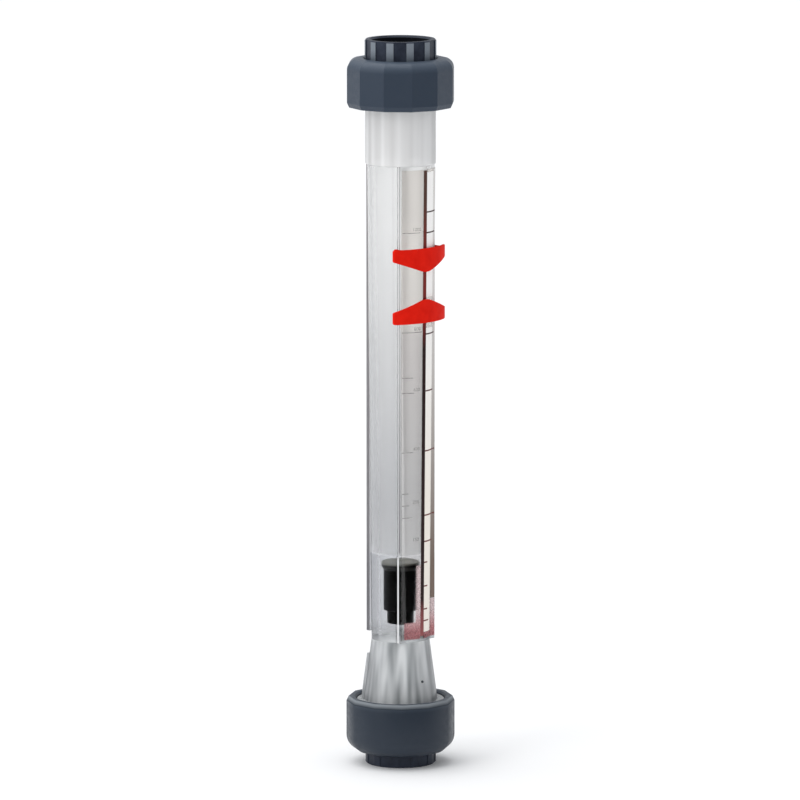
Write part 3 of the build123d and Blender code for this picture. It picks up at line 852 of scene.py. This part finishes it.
for level, place in pointer_places.items():
    form = bmesh.new()
    corners = [form.verts.new((x * mm, 0, z * mm)) for x, z, width, steps in pointer_corners]
    form.faces.new(corners)
    for corner, (x, z, width, steps) in zip(corners, pointer_corners):
        round_off(form, [corner], width, steps, affect="VERTICES")
    # divided every millimetre, so that it can be bent to the arch
    for x in range(-18, 19):
        divide(form, (x * mm, 0, 0), (1, 0, 0))
    bmesh.ops.recalc_face_normals(form, faces=form.faces)
    grown = bmesh.ops.extrude_face_region(form, geom=form.faces[:])["geom"]
    front = set(pick(grown, bmesh.types.BMVert))
    for vert in form.verts:
        radius = pointer_arch - (0 if vert in front else pointer_thickness)
        arch = sqrt(radius ** 2 - (vert.co.x / mm) ** 2)
        vert.co.y = -(arch - pointer_arch + pointer_front) * mm
    bmesh.ops.recalc_face_normals(form, faces=form.faces)
    pointer = link_form(f"{level}_red_pointer", form, pointer_red)
    hook = bmesh.new()
    strip_middle, clip_middle = pointer_arch - pointer_thickness / 2, (clip_low + clip_high) / 2
    root = sqrt(strip_middle ** 2 - clip_middle ** 2) - pointer_arch + pointer_front
    hook.faces.new([hook.verts.new((x * mm, y * mm, hook_foot * mm)) for x, y in (
        (lip_end, -clip_end), (clip_high, -clip_end), (clip_high, -root), (clip_low, -root),
        (clip_low, -clip_end - lip_thickness), (lip_end, -clip_end - lip_thickness),
    )])
    grown = bmesh.ops.extrude_face_region(hook, geom=hook.faces[:])["geom"]
    rim = pick(grown, bmesh.types.BMVert)
    bmesh.ops.translate(hook, verts=rim, vec=(0, 0, hook_height * mm))
    bmesh.ops.recalc_face_normals(hook, faces=hook.faces)
    bmesh.ops.mirror(
        hook, geom=hook.verts[:] + hook.edges[:] + hook.faces[:], axis="X", merge_dist=1e-7,
    )
    bmesh.ops.recalc_face_normals(hook, faces=hook.faces)
    combine(pointer, hook, "UNION")
    smooth(pointer.data, 25)
    pointer.data.transform(place)
    soften(pointer, 0.2)
    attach(pointer, f"{level}_pointer_slide")
    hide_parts(f"{level}_pointer")

# Float. A black plastic body turned with a thinner tail, closed by a head whose upper edge
# is read against the scale. A steel core inside gives it its weight.
tail_end, float_body_start, head_seat, float_top = 77.9, 85.3, 108.0, 112.2
tail_radius, body_radius, reading_radius = 7.3, 9.3, 10.5
cavity_radius, cavity_floor, plug_radius, plug_length = 6.6, 86.3, 6.5, 3.0
dish_radius, dish_depth, waist_chamfer = 3.4, 0.35, 0.25
head_flare = (
    (body_radius + 0.5, head_seat + 0.45), (reading_radius - 0.1, head_seat + 1.7),
    (reading_radius, head_seat + 2.0),
)


def rounded_corner(radius, height, inwards):
    """Outline points of an outer corner with a small rounding, from its flat end to its side."""
    return [
        (radius - 0.5, height), (radius - 0.15, height + 0.15 * inwards),
        (radius, height + 0.5 * inwards),
    ]


float_black = make_finish(
    "float_black", Base_Color=(0.006, 0.006, 0.006, 1), Specular_IOR_Level=0.15,
)
vary(float_black, mottle(float_black, 3 * mm), "Roughness", 0.38, 0.52)
relief(float_black, mottle(float_black, 0.6 * mm, stretch=(4, 4, 0.3)), 0.008 * mm)
# the head's top face is painted pale olive-grey, a painted highlight where it catches the light
# from above
head_with_highlight = make_finish("head_with_highlight", Roughness=0.35)
tint(head_with_highlight, height_share(head_with_highlight, 109.8, 112.6), (0.02, 0.02, 0.018), (0.78, 0.78, 0.7))
relief(head_with_highlight, mottle(head_with_highlight, 0.6 * mm), 0.01 * mm)

float_body = link_form("turned_float_body", turned([
    (0, tail_end), *rounded_corner(tail_radius, tail_end, 1),
    (tail_radius, float_body_start - waist_chamfer),
    (tail_radius + waist_chamfer, float_body_start),
    *rounded_corner(body_radius, float_body_start, 1), (body_radius, head_seat),
    (cavity_radius, head_seat), (cavity_radius, cavity_floor), (0, cavity_floor),
], facets=144), float_black, sharp=40)
float_head = link_form("turned_float_head", turned([
    (0, head_seat - plug_length), (plug_radius, head_seat - plug_length), (plug_radius, head_seat),
    (body_radius, head_seat), *head_flare,
    *reversed(rounded_corner(reading_radius, float_top, -1)), (dish_radius + 0.6, float_top),
    (dish_radius, float_top - dish_depth), (0, float_top - dish_depth),
], facets=144), head_with_highlight, sharp=40)
for piece, node in ((float_body, "float_body"), (float_head, "float_head")):
    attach(piece, "float")
    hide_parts(node)
core_steel = make_finish("core_steel", Base_Color=(0.5, 0.49, 0.48, 1), Metallic=1.0)
vary(core_steel, mottle(core_steel, 1.5 * mm, stretch=(1, 1, 0.1)), "Roughness", 0.25, 0.45)
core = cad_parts["float_ballast"]
core.data.materials.clear()
core.data.materials.append(core_steel)

# Float stops. Clear plastic rings sit in the tube's ends, and three thin vanes on each hold
# a pin in the middle of the bore, where it catches the float.
stop_plastic = make_finish(
    "stop_plastic", Base_Color=(0.93, 0.94, 0.95, 1), IOR=1.12, Transmission_Weight=1.0,
)
vary(stop_plastic, mottle(stop_plastic, 4 * mm), "Roughness", 0.08, 0.18)
for end in ends:
    form = bmesh.new()
    form.from_mesh(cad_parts[f"{end}_float_stop"].data)
    bmesh.ops.remove_doubles(form, verts=form.verts, dist=1e-6)
    stop = link_form(f"{end}_clear_stop", form, stop_plastic)
    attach(stop, "root")
    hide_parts(f"{end}_float_stop")

# Seals. A black rubber ring lies in the groove of each end face, pressed flat by the flange.
# Its faces are dull, with the fine grain of a rubber mould.
seal_rubber = make_finish("seal_rubber", Roughness=0.75)
tint(seal_rubber, mottle(seal_rubber, 2 * mm), (0.009, 0.009, 0.01), (0.02, 0.02, 0.021))
relief(seal_rubber, mottle(seal_rubber, 0.3 * mm), 0.02 * mm)
for end in ends:
    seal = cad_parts[f"{end}_seal_ring"]
    seal.data.materials.clear()
    seal.data.materials.append(seal_rubber)
